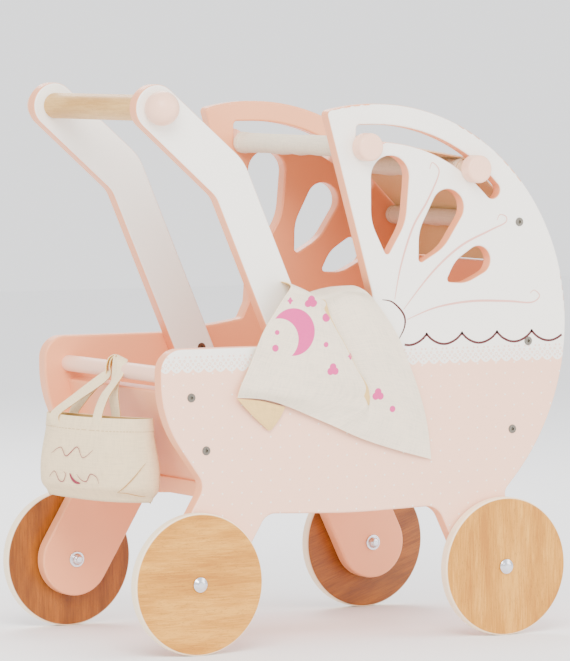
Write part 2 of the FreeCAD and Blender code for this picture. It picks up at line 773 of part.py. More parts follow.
def blanket():
    """A folded cloth that comes up out of the pram and hangs down the right side panel."""
    body = new_body("blanket")
    thick = size("blanket_thick")
    face = OUTER + 2 * GAP
    top = size("panel_top")
    rear = size("panel_rear")
    hang = outline([
        (rear + 137.5, top + 56.0, 8.0), (rear + 101.0, top + 5.0, 20.0),
        (rear + 82.0, top - 48.0, 8.0), (rear + 120.0, top - 80.0, 8.0),
        (rear + 180.0, top - 76.0, 60.0), (rear + 289.0, top - 113.0, 8.0),
        (rear + 272.0, top - 50.0, 60.0), (rear + 222.0, top + 52.0, 10.0),
    ])
    pad(body, hang, "-(Sizes.inside_width / 2 + Sizes.board + 2 * Sizes.fit_gap)",
        "Sizes.blanket_thick")
    doc.recompute()
    bridge_rear = rear + 190.6
    arch = [
        V(0, -face - thick * 0.9, top + 10.0), V(0, -face - thick * 0.9, top + 50.0),
        V(0, -INNER + 40.0, top + 50.0), V(0, -INNER + 40.0, top - 60.0),
        V(0, -INNER + 40.0 - thick, top - 60.0), V(0, -INNER + 40.0 - thick, top + 50.0 - thick),
        V(0, -face, top + 50.0 - thick), V(0, -face, top + 10.0),
    ]
    sketch = body.newObject("Sketcher::SketchObject", body.Name + "_arch")
    sketch.AttachmentSupport = [(origin_plane(body, "YZ_Plane"), "")]
    sketch.MapMode = "FlatFace"
    sketch.AttachmentOffset = FreeCAD.Placement(V(0, 0, bridge_rear - 10.0), FreeCAD.Rotation())
    roundings = [0, 12.0, 12.0, 1.5, 1.5, 8.0, 8.0, 0]
    sketch.addGeometry(outline([(p.y, p.z, r) for p, r in zip(arch, roundings)]), False)
    feature = body.newObject("PartDesign::Pad", body.Name + "_bridge")
    feature.Profile = sketch
    feature.Length = 32.0


# ---------------------------------------------------------------- assembly
for side_name, side in SIDES.items():
    side_panel(side_name, side)
    handle_arm(side_name, side)
    handle_ball(side_name, side)
    for end_name, axle in AXLES.items():
        wheel_set(end_name, side_name, axle, side)
    out = V(0, side, 0)
    screw_group("panel_screws_" + side_name, REAR_SCREWS + HEAD_SCREWS + [HOOD_ROD],
                side * (OUTER + 0.6), out, size("screw_reach"))
    screw_group("arm_screws_" + side_name, ARM_SCREWS, side * (ARM_INNER - 0.6), out * -1, 22.0)
handle_grip()
rear_dowel()
hood_rod()
rear_foot = rear_wall()
head_foot = head_wall()
floor_panel(rear_foot - 3.0, head_foot)
bow("front_bow", NOTCH)
bow("second_bow", SECOND)
canopy()
bag()
strap("bag_strap_left", BAG_PLACE[1] + 23.0)
strap("bag_strap_right", BAG_PLACE[1] - 4.0)
blanket()
doc.recompute()


# ---------------------------------------------------------------- checks and files
for item in doc.Objects:
    if "Invalid" in item.State or "Error" in item.State:
        raise RuntimeError("%s did not build" % item.Name)
for piece in PIECES:
    if piece.Shape.isNull() or not piece.Shape.isValid():
        raise RuntimeError("%s has no valid shape" % piece.Label)
os.makedirs("parts", exist_ok=True)
for piece in PIECES:
    piece.Shape.exportStep("parts/%s.step" % piece.Label)
print("%d pieces" % len(PIECES))
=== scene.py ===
"""Looks of the wooden doll stroller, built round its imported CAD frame. Metres, +Z up."""
import math

import bpy
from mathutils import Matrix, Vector


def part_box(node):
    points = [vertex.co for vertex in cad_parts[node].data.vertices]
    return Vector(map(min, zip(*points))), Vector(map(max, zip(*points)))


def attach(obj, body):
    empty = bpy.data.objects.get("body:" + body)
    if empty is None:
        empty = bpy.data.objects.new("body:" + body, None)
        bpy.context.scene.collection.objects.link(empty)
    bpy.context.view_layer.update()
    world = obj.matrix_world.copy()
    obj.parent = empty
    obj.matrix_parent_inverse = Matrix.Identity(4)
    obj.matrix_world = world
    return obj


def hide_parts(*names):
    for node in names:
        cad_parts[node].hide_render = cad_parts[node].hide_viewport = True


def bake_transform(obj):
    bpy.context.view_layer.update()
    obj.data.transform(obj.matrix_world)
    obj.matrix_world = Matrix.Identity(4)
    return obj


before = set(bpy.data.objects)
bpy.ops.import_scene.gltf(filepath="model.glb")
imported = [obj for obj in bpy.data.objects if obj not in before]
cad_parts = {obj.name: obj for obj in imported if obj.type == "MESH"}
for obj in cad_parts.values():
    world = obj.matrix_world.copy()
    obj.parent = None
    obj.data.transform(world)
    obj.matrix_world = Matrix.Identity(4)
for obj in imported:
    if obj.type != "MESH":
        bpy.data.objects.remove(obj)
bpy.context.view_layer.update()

MM = 0.001


# ---------------------------------------------------------------- places from the frame
def middle(node):
    low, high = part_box(node)
    return (low + high) / 2


AXLE = middle("wheel_rear_right")                  # rear axle, on the right side
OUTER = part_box("side_panel_left")[1].y             # outer face of a side panel
DOWEL = middle("rear_dowel")
NOTCH = middle("front_bow_rod")
SECOND = middle("second_bow_rod")
HOOD_ROD = middle("fixed_hood_rod")
BOW_R = (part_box("second_bow_rod")[1].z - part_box("second_bow_rod")[0].z) / 2
HOOD_ROD_R = (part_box("fixed_hood_rod")[1].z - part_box("fixed_hood_rod")[0].z) / 2
DOWEL_R = (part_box("rear_dowel")[1].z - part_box("rear_dowel")[0].z) / 2


def at(x, y, z):
    """A place given in mm from the rear axle (x), the middle (y) and the floor (z)."""
    return Vector((AXLE.x + x * MM, y * MM, z * MM))


# ---------------------------------------------------------------- node helpers
class Nodes:
    """Short calls for building one material's node tree."""

    def __init__(self, name):
        self.material = bpy.data.materials.new(name)
        self.material.use_nodes = True
        self.tree = self.material.node_tree
        self.shader = self.tree.nodes["Principled BSDF"]
        self.coords = None

    def new(self, kind, **settings):
        node = self.tree.nodes.new(kind)
        for key, value in settings.items():
            setattr(node, key, value)
        return node

    def link(self, source, target):
        if hasattr(source, "is_output"):
            self.tree.links.new(source, target)
        else:
            target.default_value = source

    def object_coords(self):
        if self.coords is None:
            self.coords = self.new("ShaderNodeTexCoord").outputs["Object"]
        return self.coords

    def cloth_coords(self):
        """The place on the flat cloth, in metres, kept on the mesh as an attribute."""
        return self.new("ShaderNodeAttribute", attribute_name="cloth").outputs["Vector"]

    def split(self, vector):
        node = self.new("ShaderNodeSeparateXYZ")
        self.link(vector, node.inputs[0])
        return node.outputs

    def math(self, operation, a, b=0.0, c=0.0):
        node = self.new("ShaderNodeMath", operation=operation)
        for value, socket in zip((a, b, c), node.inputs):
            self.link(value, socket)
        return node.outputs[0]

    def above(self, value, edge, soft=0.0002):
        """1 where the value is over the edge, 0 under it, with a soft step."""
        node = self.new("ShaderNodeMapRange", interpolation_type="SMOOTHSTEP")
        self.link(value, node.inputs["Value"])
        self.link(self.math("SUBTRACT", edge, soft), node.inputs["From Min"])
        self.link(self.math("ADD", edge, soft), node.inputs["From Max"])
        return node.outputs["Result"]

    def below(self, value, edge, soft=0.0002):
        return self.math("SUBTRACT", 1.0, self.above(value, edge, soft))

    def distance(self, dx, dz):
        squares = self.math("ADD", self.math("POWER", dx, 2.0), self.math("POWER", dz, 2.0))
        return self.math("SQRT", squares)

    def stitches(self, along, pitch):
        """A dashed line: 1 on each stitch and 0 in the gap between two."""
        from_gap = self.math("SUBTRACT", self.math("WRAP", along, pitch, 0.0), pitch / 2)
        return self.above(self.math("ABSOLUTE", from_gap, 0.0), 0.0005, 0.0001)

    def mix(self, factor, first, second):
        node = self.new("ShaderNodeMix", data_type="RGBA")
        self.link(factor, node.inputs[0])
        self.link(first, node.inputs[6])
        self.link(second, node.inputs[7])
        return node.outputs[2]

    def scaled(self, vector, scale, turn=(0, 0, 0)):
        node = self.new("ShaderNodeMapping")
        self.link(vector, node.inputs["Vector"])
        node.inputs["Scale"].default_value = scale
        node.inputs["Rotation"].default_value = turn
        return node.outputs[0]

    def noise(self, vector, scale, detail=3.0, rough=0.5):
        node = self.new("ShaderNodeTexNoise")
        self.link(vector, node.inputs["Vector"])
        node.inputs["Scale"].default_value = scale
        node.inputs["Detail"].default_value = detail
        node.inputs["Roughness"].default_value = rough
        return node.outputs["Fac"]

    def ramp(self, factor, stops):
        node = self.new("ShaderNodeValToRGB")
        self.link(factor, node.inputs[0])
        elements = node.color_ramp.elements
        while len(elements) < len(stops):
            elements.new(0.5)
        for element, (position, color) in zip(elements, stops):
            element.position = position
            element.color = color
        return node.outputs[0]

    def bump(self, height, distance, strength=1.0):
        node = self.new("ShaderNodeBump")
        self.link(height, node.inputs["Height"])
        node.inputs["Distance"].default_value = distance
        node.inputs["Strength"].default_value = strength
        return node.outputs[0]

    def finish(self, color, roughness, normal=None, **fixed):
        self.link(color, self.shader.inputs["Base Color"])
        self.link(roughness, self.shader.inputs["Roughness"])
        if normal is not None:
            self.link(normal, self.shader.inputs["Normal"])
        for name, value in fixed.items():
            self.shader.inputs[name.replace("_", " ")].default_value = value
        return self.material


SATURATION = 1.4                      # the studio view washes colours out


def linear(red, green, blue):
    """An sRGB colour, 0 to 255, as a linear RGBA tuple, made stronger by SATURATION."""
    def channel(value):
        value = value / 255
        return value / 12.92 if value <= 0.04045 else ((value + 0.055) / 1.055) ** 2.4
    shades = (channel(red), channel(green), channel(blue))
    grey = sum(shades) / 3
    return tuple(max(0.0, min(1.0, grey + (c - grey) * SATURATION)) for c in shades) + (1.0,)


BLUSH = linear(246, 206, 186)
# the same blush, darker and stronger: painted shade on inner faces, panel edges, end walls and floor, and
# painted pink reflection and shade on the arms' edges
BLUSH_PAINTED_SHADE = linear(232, 172, 142)
WHITE = linear(246, 243, 236)
LACE_LINE = linear(226, 178, 158)
MAROON = linear(70, 12, 20)
CURL_PINK = linear(222, 176, 166)
PRINT_PINK = linear(206, 88, 142)
CANVAS = linear(232, 222, 204)
# the canvas's inner face, darker and yellower than its outer face, as painted shade
CANVAS_PAINTED_SHADE = linear(232, 206, 166)


# ---------------------------------------------------------------- painted wood
def paint_surface(n, vector):
    """Roughness and bump of brushed satin paint over wood."""
    grain = n.noise(n.scaled(vector, (40, 40, 400)), 1.0, 4.0)
    peel = n.noise(vector, 900.0, 2.0)
    height = n.math("ADD", n.math("MULTIPLY", grain, 0.6), n.math("MULTIPLY", peel, 0.4))
    rough = n.math("ADD", 0.36, n.math("MULTIPLY", grain, 0.16))
    return rough, n.bump(height, 0.00012, 0.5)


def tinted(n, vector, color, amount=0.05):
    """A colour that gets slightly darker and lighter from place to place."""
    cloud = n.noise(vector, 9.0, 3.0)
    dark = tuple(c * (1 - amount) for c in color[:3]) + (1.0,)
    return n.mix(cloud, dark, color)


def plain_paint(name, color):
    n = Nodes(name)
    vector = n.object_coords()
    rough, normal = paint_surface(n, vector)
    return n.finish(tinted(n, vector, color), rough, normal, Coat_Weight=0.12)


def arm_paint():
    """White faces, with edges in the darker blush as painted pink reflection and shade."""
    n = Nodes("arm_paint")
    vector = n.object_coords()
    y = n.split(vector)[1]
    rough, normal = paint_surface(n, vector)
    across = n.math("ABSOLUTE", y, 0.0)
    low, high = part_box("handle_arm_left")
    faces = n.math("MAXIMUM", n.above(across, high.y - 0.0006, 0.0003),
                   n.below(across, low.y + 0.0006, 0.0003))
    # painted pink reflection and shade on the edges; the faces stay white
    color = n.mix(faces, tinted(n, vector, BLUSH_PAINTED_SHADE), tinted(n, vector, WHITE, 0.02))
    return n.finish(color, rough, normal, Coat_Weight=0.12)


def panel_paint():
    """Darker blush inside and on the edges as painted shade; outside, white with a lace border over dotted
    blush.
    """
    n = Nodes("panel_paint")
    vector = n.object_coords()
    x, y, z = n.split(vector)
    x = n.math("SUBTRACT", x, AXLE.x)
    rough, normal = paint_surface(n, vector)
    outside = n.above(n.math("ABSOLUTE", y, 0.0), OUTER - 0.0009, 0.0005)

    # rows of small white dots, each row half a step along from the last
    step, row = 0.021, 0.0105
    row_number = n.math("FLOOR", n.math("DIVIDE", z, row))
    shift = n.math("MULTIPLY", n.math("MODULO", row_number, 2.0), step / 2)
    cell_x = n.math("SUBTRACT", n.math("WRAP", n.math("ADD", x, shift), step, 0.0), step / 2)
    cell_z = n.math("SUBTRACT", n.math("WRAP", z, row, 0.0), row / 2)
    dot = n.below(n.distance(cell_x, cell_z), 0.0009, 0.0003)

    # a lace border: a scalloped lower edge and rows of small eyelets
    pitch, foot, scallop = 0.0118, 0.2688, 0.0042
    along = n.math("SUBTRACT", n.math("WRAP", x, pitch, 0.0), pitch / 2)
    half = n.math("ABSOLUTE", along, 0.0)
    curve = n.math("POWER", n.math("DIVIDE", half, pitch / 2), 2.0)
    edge = n.math("ADD", foot, n.math("MULTIPLY", curve, scallop))
    in_band = n.above(z, edge, 0.0002)
    holes = 0.0
    for place_x, place_z, radius in ((0.0, 0.2765, 0.0014), (0.0030, 0.2740, 0.0008),
                                     (0.0034, 0.2800, 0.0009), (0.0, 0.2715, 0.0006),
                                     (0.0022, 0.2836, 0.0006), (0.0059, 0.2770, 0.0009)):
        dx = n.math("SUBTRACT", half, place_x)
        dz = n.math("SUBTRACT", z, place_z)
        from_ring = n.math("SUBTRACT", n.distance(dx, dz), radius)
        ring = n.below(n.math("ABSOLUTE", from_ring, 0.0), 0.00035, 0.0002)
        holes = n.math("MAXIMUM", holes, ring)
    holes = n.math("MULTIPLY", holes, 0.75)

    blush = tinted(n, vector, BLUSH)
    white = tinted(n, vector, WHITE, 0.02)
    dotted = n.mix(n.math("MULTIPLY", dot, 0.8), blush, WHITE)
    border = n.mix(holes, white, LACE_LINE)
    face = n.mix(in_band, dotted, border)
    # painted shade: inside and on the edges the blush is the darker copy
    color = n.mix(outside, tinted(n, vector, BLUSH_PAINTED_SHADE), face)
    return n.finish(color, rough, normal, Coat_Weight=0.12)


# ---------------------------------------------------------------- bare wood
def beech(name, turn, wheel=None, light=(204, 156, 100), dark=(166, 116, 66)):
    """Oiled beech: soft bands along the grain and short darker rays.

    A wheel's rim is paler, within 1.2 mm of its edge, as a painted highlight."""
    n = Nodes(name)
    vector = n.scaled(n.object_coords(), (1, 1, 1), turn)
    bands = n.noise(n.scaled(vector, (9, 60, 60)), 1.0, 5.0, 0.55)
    fine = n.noise(n.scaled(vector, (45, 700, 700)), 1.0, 3.0)
    rays = n.noise(n.scaled(vector, (330, 1500, 1500)), 1.0, 1.0)
    ray = n.ramp(rays, [(0.0, (0, 0, 0, 1)), (0.60, (0, 0, 0, 1)), (0.70, (1, 1, 1, 1))])
    tone = n.math("ADD", n.math("MULTIPLY", bands, 0.62), n.math("MULTIPLY", fine, 0.38))
    base = n.ramp(tone, [(0.38, linear(*dark)), (0.5, linear(*[(a + b) / 2 for a, b in zip(light, dark)])),
                         (0.61, linear(*light))])
    flecked = n.mix(n.math("MULTIPLY", ray, 0.34), base, linear(*[c * 0.72 for c in dark]))
    if wheel is not None:
        low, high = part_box(wheel)
        hub, radius = (low + high) / 2, (high.z - low.z) / 2
        px, _, pz = n.split(n.object_coords())
        out = n.distance(n.math("SUBTRACT", px, hub.x), n.math("SUBTRACT", pz, hub.z))
        # painted highlight: the rim is paler all round
        flecked = n.mix(n.above(out, radius - 0.0012, 0.0005), flecked, linear(244, 228, 204))
    rough = n.math("ADD", 0.42, n.math("MULTIPLY", fine, 0.14))
    height = n.math("SUBTRACT", fine, n.math("MULTIPLY", ray, 0.8))
    return n.finish(flecked, rough, n.bump(height, 0.0001, 0.6), Coat_Weight=0.08)


# ---------------------------------------------------------------- metal
def chrome():
    n = Nodes("chrome")
    haze = n.noise(n.object_coords(), 420.0, 3.0)
    rough = n.math("ADD", 0.10, n.math("MULTIPLY", haze, 0.14))
    return n.finish(linear(214, 214, 218), rough, n.bump(haze, 0.00004, 0.4), Metallic=1.0)


def dark_steel():
    n = Nodes("dark_steel")
    wear = n.noise(n.object_coords(), 800.0, 3.0)
    color = n.mix(wear, linear(70, 64, 58), linear(150, 146, 138))
    rough = n.math("ADD", 0.28, n.math("MULTIPLY", wear, 0.25))
    return n.finish(color, rough, n.bump(wear, 0.00005, 0.5), Metallic=1.0)


# ---------------------------------------------------------------- cloth
def canvas(name, color, back=None, prints=None, weave=0.0011):
    """Woven canvas read along the cloth itself, weave metres from thread to thread.

    back is the inner face's colour, a darker copy of the front as painted shade. prints(n, u, v, color) may
    paint on the cloth."""
    n = Nodes(name)
    cloth = n.cloth_coords()
    u, v, side = n.split(cloth)
    over = n.math("SINE", n.math("MULTIPLY", u, 2 * math.pi / weave))
    under = n.math("SINE", n.math("MULTIPLY", v, 2 * math.pi / weave))
    threads = n.math("MULTIPLY", over, under)
    slub = n.noise(n.scaled(cloth, (60, 900, 1)), 1.0, 3.0)
    slub_up = n.noise(n.scaled(cloth, (900, 60, 1)), 1.0, 3.0)
    cloud = n.noise(cloth, 26.0, 4.0)
    shade = n.math("ADD", n.math("MULTIPLY", slub, 0.5), n.math("MULTIPLY", slub_up, 0.5))
    light = tuple(min(1.0, c * 1.06) for c in color[:3]) + (1.0,)
    dark = tuple(c * 0.86 for c in color[:3]) + (1.0,)
    tone = n.ramp(n.math("ADD", n.math("MULTIPLY", shade, 0.75), n.math("MULTIPLY", cloud, 0.25)),
                  [(0.36, dark), (0.52, color), (0.66, light)])
    fleck = n.noise(cloth, 1400.0, 1.0)
    tone = n.mix(n.math("MULTIPLY", n.above(fleck, 0.72, 0.03), 0.22), tone, linear(150, 118, 82))
    if prints is not None:
        tone = prints(n, u, v, tone)
    # painted shade: the inner face takes the darker back colour
    if back is not None:
        back_dark = tuple(c * 0.86 for c in back[:3]) + (1.0,)
        tone = n.mix(n.above(side, 0.5, 0.01), tone, n.mix(shade, back_dark, back))
    height = n.math("ADD", n.math("MULTIPLY", threads, 0.5), n.math("MULTIPLY", shade, 1.4))
    return n.finish(tone, 0.92, n.bump(height, 0.00035, 0.75), Sheen_Weight=0.12,
                    Specular_IOR_Level=0.18)


def smooth_mesh(name, mesh, material):
    """An object from a mesh, smooth except at edges sharper than 50 degrees."""
    mesh.polygons.foreach_set("use_smooth", [True] * len(mesh.polygons))
    mesh.set_sharp_from_angle(angle=math.radians(50))
    mesh.materials.append(material)
    thing = bpy.data.objects.new(name, mesh)
    bpy.context.scene.collection.objects.link(thing)
    return thing


def cloth_mesh(name, rows, coords, material, thick=0.0012, ring=False, raised=None):
    """A thin solid cloth from rows of points on its outer face.

    coords gives each point's place on the flat cloth. ring closes each row on itself.
    raised(row, column) thickens a place, as at a hem."""
    count, wide = len(rows), len(rows[0])

    def near(row, column):
        row = min(max(row, 0), count - 1)
        column = column % wide if ring else min(max(column, 0), wide - 1)
        return rows[row][column]

    outer, inner = [], []
    for i in range(count):
        for j in range(wide):
            along = near(i, j + 1) - near(i, j - 1)
            up = near(i + 1, j) - near(i - 1, j)
            normal = up.cross(along)
            if normal.length < 1e-12:
                normal = Vector((0, 0, 1))
            normal.normalize()
            lift = raised(i, j) if raised else 0.0
            outer.append(rows[i][j] + normal * lift)
            inner.append(rows[i][j] - normal * thick)
    points = outer + inner
    shift = len(outer)
    faces = []
    steps = wide if ring else wide - 1
    for i in range(count - 1):
        for j in range(steps):
            a, b = i * wide + j, i * wide + (j + 1) % wide
            c, d = b + wide, a + wide
            faces.append((d, c, b, a))
            faces.append((shift + a, shift + b, shift + c, shift + d))
    for i, flip in ((0, True), (count - 1, False)):
        for j in range(steps):
            a, b = i * wide + j, i * wide + (j + 1) % wide
            face = (a, shift + a, shift + b, b)
            faces.append(face[::-1] if flip else face)
    if not ring:
        for j, flip in ((0, False), (wide - 1, True)):
            for i in range(count - 1):
                a, b = i * wide + j, (i + 1) * wide + j
                face = (a, shift + a, shift + b, b)
                faces.append(face[::-1] if flip else face)
    mesh = bpy.data.meshes.new(name)
    mesh.from_pydata([tuple(p) for p in points], [], faces)
    places = mesh.attributes.new("cloth", "FLOAT_VECTOR", "POINT")
    flat = [value for i in range(count) for j in range(wide) for value in (*coords[i][j], 0.0)]
    back = [value for i in range(count) for j in range(wide) for value in (*coords[i][j], 1.0)]
    places.data.foreach_set("vector", flat + back)
    mesh.validate()
    return smooth_mesh(name, mesh, material)


def smoothstep(value):
    value = min(1.0, max(0.0, value))
    return value * value * (3 - 2 * value)


def catmull(points, per_span):
    """A smooth run through control points (Vectors), ends kept."""
    out = []
    last = len(points) - 1
    for i in range(last):
        p0, p1, p2, p3 = (points[max(i - 1, 0)], points[i], points[i + 1], points[min(i + 2, last)])
        for k in range(per_span):
            t = k / per_span
            out.append(0.5 * ((2 * p1) + (p2 - p0) * t + (2 * p0 - 5 * p1 + 4 * p2 - p3) * t * t
                              + (3 * p1 - p0 - 3 * p2 + p3) * t ** 3))
    out.append(points[-1].copy())
    return out


def lengths(points):
    run = [0.0]
    for a, b in zip(points, points[1:]):
        run.append(run[-1] + (b - a).length)
    return run


# ---------------------------------------------------------------- canopy
CLOTH = 0.0012                                     # thickness
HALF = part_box("canopy_front_bay")[1].y             # half the canopy's width
HEM = 0.009                                        # width of a side hem


def leaving_angle(a, b, ra, rb):
    """The angle at which cloth leaves rod a for rod b, near the top of both.

    It is square to the line of their centres and turned on by asin of the difference of
    their radii over their distance. Their shared tangent turns by as much the other way,
    so for unequal rods this is only near it."""
    run = math.hypot(b.x - a.x, b.z - a.z)
    lean = math.atan2(b.z - a.z, b.x - a.x)
    return lean + math.pi / 2 + math.asin((ra - rb) / run)


def swept(name, path, material, sag=0.0):
    """A stretch of canopy: an x-z path carried across the pram, with hemmed side edges."""
    run = lengths([Vector((x, 0, z)) for x, z in path])
    total = run[-1]
    ys = [-HALF, -HALF + 0.0012, -HALF + HEM - 0.0006, -HALF + HEM]
    ys += [-HALF + HEM + (2 * (HALF - HEM)) * k / 60 for k in range(1, 60)]
    ys += [HALF - HEM, HALF - HEM + 0.0006, HALF - 0.0012, HALF]
    rows, coords = [], []
    for (x, z), s in zip(path, run):
        row, place = [], []
        for y in ys:
            free = math.sin(math.pi * s / total)
            gather = 0.0007 * math.sin(y * 118 + 1.7 * math.sin(y * 41)) * (1 - free) * free * 3
            dip = sag * free * (0.55 + 0.45 * math.cos(math.pi * y / HALF / 2) + 0.2 * math.sin(y * 33))
            row.append(Vector((x, y, z - dip + gather)))
            place.append((y, s))
        rows.append(row)
        coords.append(place)
    columns = len(ys)
    return cloth_mesh(name, rows, coords, material, CLOTH,
                      raised=lambda i, j: 0.0006 if j in (1, 2, columns - 3, columns - 2) else 0.0)


def straight(a, b, steps=18):
    return [(a[0] + (b[0] - a[0]) * k / steps, a[1] + (b[1] - a[1]) * k / steps) for k in range(1, steps)]


def canopy_prints(n, u, v, color):
    """A line of stitches along each side hem."""
    edge = n.math("SUBTRACT", HALF, n.math("ABSOLUTE", u, 0.0))
    line = n.below(n.math("ABSOLUTE", n.math("SUBTRACT", edge, HEM - 0.0018), 0.0), 0.0004, 0.0002)
    dashes = n.math("MULTIPLY", line, n.stitches(v, 0.0032))
    return n.mix(n.math("MULTIPLY", dashes, 0.5), color, linear(150, 120, 84))


CANVAS_CLOTH = canvas("canopy_canvas", CANVAS, back=CANVAS_PAINTED_SHADE, prints=canopy_prints)


def sleeve_and_bay(name, rod, rod_r, after, after_r, sag):
    """Cloth that goes once round a rod, is sewn to itself, and runs on to the next rod."""
    skin = rod_r + 0.0003
    lean = leaving_angle(rod, after, skin, after_r + 0.0003)
    loop = []
    for k in range(61):
        turn = k / 60
        grow = CLOTH * (1.05 + 1.1 * smoothstep((turn - 0.80) / 0.16))
        angle = lean + 0.10 - 2 * math.pi * turn - 0.10 * turn
        loop.append((rod.x + (skin + grow) * math.cos(angle), rod.z + (skin + grow) * math.sin(angle)))
    end_radius = after_r + 0.0003 + CLOTH * 2.2
    reach = (after.x + end_radius * math.cos(lean), after.z + end_radius * math.sin(lean))
    return swept(name, loop + straight(loop[-1], reach, 24) + [reach], CANVAS_CLOTH, sag)


def finish_canopy():
    front = sleeve_and_bay("canopy_front_cloth", NOTCH, BOW_R, SECOND, BOW_R, 0.0016)
    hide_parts("canopy_front_sleeve", "canopy_front_bay")
    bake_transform(front)

    mid = sleeve_and_bay("canopy_middle_cloth", SECOND, BOW_R, HOOD_ROD, HOOD_ROD_R, 0.0006)
    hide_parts("canopy_middle_sleeve", "canopy_middle_bay")
    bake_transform(mid)

    low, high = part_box("canopy_rear_bay")
    tip = Vector((high.x, 0, low.z))
    rear = sleeve_and_bay("canopy_rear_cloth", HOOD_ROD, HOOD_ROD_R, tip, 0.0, 0.0)
    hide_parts("canopy_rear_sleeve", "canopy_rear_bay")
    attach(rear, "frame")


# ---------------------------------------------------------------- bag
BAG_LOW, BAG_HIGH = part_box("bag")
BAG_MID = (BAG_LOW + BAG_HIGH) / 2
BAG_TURN = math.radians(19)
BAG_HALF = 0.5 * (BAG_HIGH.y - BAG_LOW.y) / math.cos(BAG_TURN) * 0.985
BAG_RIM = BAG_HIGH.z
BAG_TALL = BAG_HIGH.z - BAG_LOW.z
BAG_ENDS = 0.72                                    # under 1 squares the ends of its outline


def bag_point(depth, width, z):
    """A place depth out of the bag's middle plane and width along it, at height z."""
    c, s = math.cos(BAG_TURN), math.sin(BAG_TURN)
    return Vector((BAG_MID.x + depth * c - width * s, BAG_MID.y + depth * s + width * c, z))


def bag_prints(n, u, v, color):
    """A line of stitches below the rim."""
    from_hem = n.math("SUBTRACT", v, BAG_TALL - 0.013)
    line = n.below(n.math("ABSOLUTE", from_hem, 0.0), 0.0004, 0.0002)
    dashes = n.math("MULTIPLY", line, n.stitches(u, 0.0034))
    return n.mix(n.math("MULTIPLY", dashes, 0.6), color, linear(172, 140, 100))


# painted shade: the bag's inner face is a darker copy of its canvas
BAG_CLOTH = canvas("bag_canvas", linear(236, 218, 188), back=linear(206, 176, 130),
                   prints=bag_prints, weave=0.0013)


def bag_shape(turn, up):
    """The bag's outer face: turn goes round it, up runs from the bottom fold to the rim."""
    half = BAG_HALF
    wide = half * (0.955 + 0.045 * math.cos(math.pi * up * 0.9)) + 0.004 * math.sin(math.pi * up) * (1 - up)
    deep = 0.0175 * (0.62 + 0.42 * math.sin(math.pi * min(1.0, 0.18 + up * 0.72)) ** 1.2)
    c, s = math.cos(turn), math.sin(turn)
    width = wide * math.copysign(abs(c) ** BAG_ENDS, c)
    depth = deep * math.copysign(abs(s) ** 0.82, s)
    rise = smoothstep(up / 0.16)
    depth *= 0.30 + 0.70 * rise
    width *= 0.935 + 0.065 * smoothstep(up / 0.10)
    fold = 0.0016 * math.sin(width * 85 + up * 5.0) * math.sin(math.pi * up) * (1 if s > 0 else 0.8)
    from_crease = width * math.copysign(1, s) - half * 0.55 - 0.020 * up
    crease = -0.0022 * math.exp(-(from_crease / 0.007) ** 2) * (1 - up) * up * 3
    depth += (fold + crease) * math.copysign(1, s) * min(1.0, abs(s) * 1.6)
    sagged = BAG_LOW.z + 0.0035 + (BAG_TALL - 0.0035) * up
    sagged -= 0.0030 * (1 - up) * (1 - (width / half) ** 2)
    sagged -= 0.0018 * smoothstep((up - 0.6) / 0.4) * (1 - (width / half) ** 2)
    return bag_point(depth, width, sagged)


def make_bag():
    """The bag's cloth: rows that close its bottom fold, then rows up to the rim."""
    around, levels, closing = 128, 34, 5
    rows, coords = [], []
    for i in range(-closing, levels + 1):
        row, place = [], []
        up = max(0.0, i / levels)
        shrink = 1.0 if i >= 0 else (i + closing) / closing
        for j in range(around):
            turn = 2 * math.pi * j / around
            point = bag_shape(turn, up)
            if i < 0:
                end = 1 if math.cos(turn) > 0 else -1
                fold = bag_point(0.0, end * BAG_HALF * 0.90 * abs(math.cos(turn)) ** BAG_ENDS, point.z)
                point = fold.lerp(point, math.sin(shrink * math.pi / 2))
                point.z -= 0.0024 * (1 - shrink) ** 0.8
            row.append(point)
            length = BAG_HALF * 4 * j / around
            place.append((length, BAG_TALL * up - 0.012 * (1 - shrink)))
        rows.append(row)
        coords.append(place)
    thing = cloth_mesh("bag_cloth", rows, coords, BAG_CLOTH, 0.0014, ring=True,
                       raised=lambda i, j: 0.0007 if i - closing > levels * 0.845 else 0.0)
    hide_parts("bag")
    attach(thing, "bag")


def bag_face(width, up):
    """A place on the bag's near face, width mm along it and up as a share of its height."""
    share = min(0.98, abs(width * MM) / (BAG_HALF * 0.97))
    turn = -math.acos(math.copysign(share ** (1 / BAG_ENDS), width))
    return bag_shape(turn, up)


def bag_stroke(name, points, widest, material):
    """A line on the bag's near face, for the ornament's threads and for painted shade along folds."""
    path = catmull([Vector((w, 0, u)) for w, u in points], 8)
    spots = [bag_face(p.x, p.z) for p in path]
    outward = Vector((-math.cos(BAG_TURN), -math.sin(BAG_TURN), 0)) * 0.0009
    verts, faces = [], []
    for i, spot in enumerate(spots):
        ahead = spots[min(i + 1, len(spots) - 1)] - spots[max(i - 1, 0)]
        square = ahead.cross(outward).normalized()
        half = widest / 2 * (0.35 + 0.65 * math.sin(math.pi * i / (len(spots) - 1)))
        verts += [tuple(spot + outward + square * half), tuple(spot + outward - square * half)]
    faces = [(2 * i, 2 * i + 1, 2 * i + 3, 2 * i + 2) for i in range(len(spots) - 1)]
    mesh = bpy.data.meshes.new(name)
    mesh.from_pydata(verts, [], faces)
    thing = smooth_mesh(name, mesh, material)
    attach(thing, "bag")


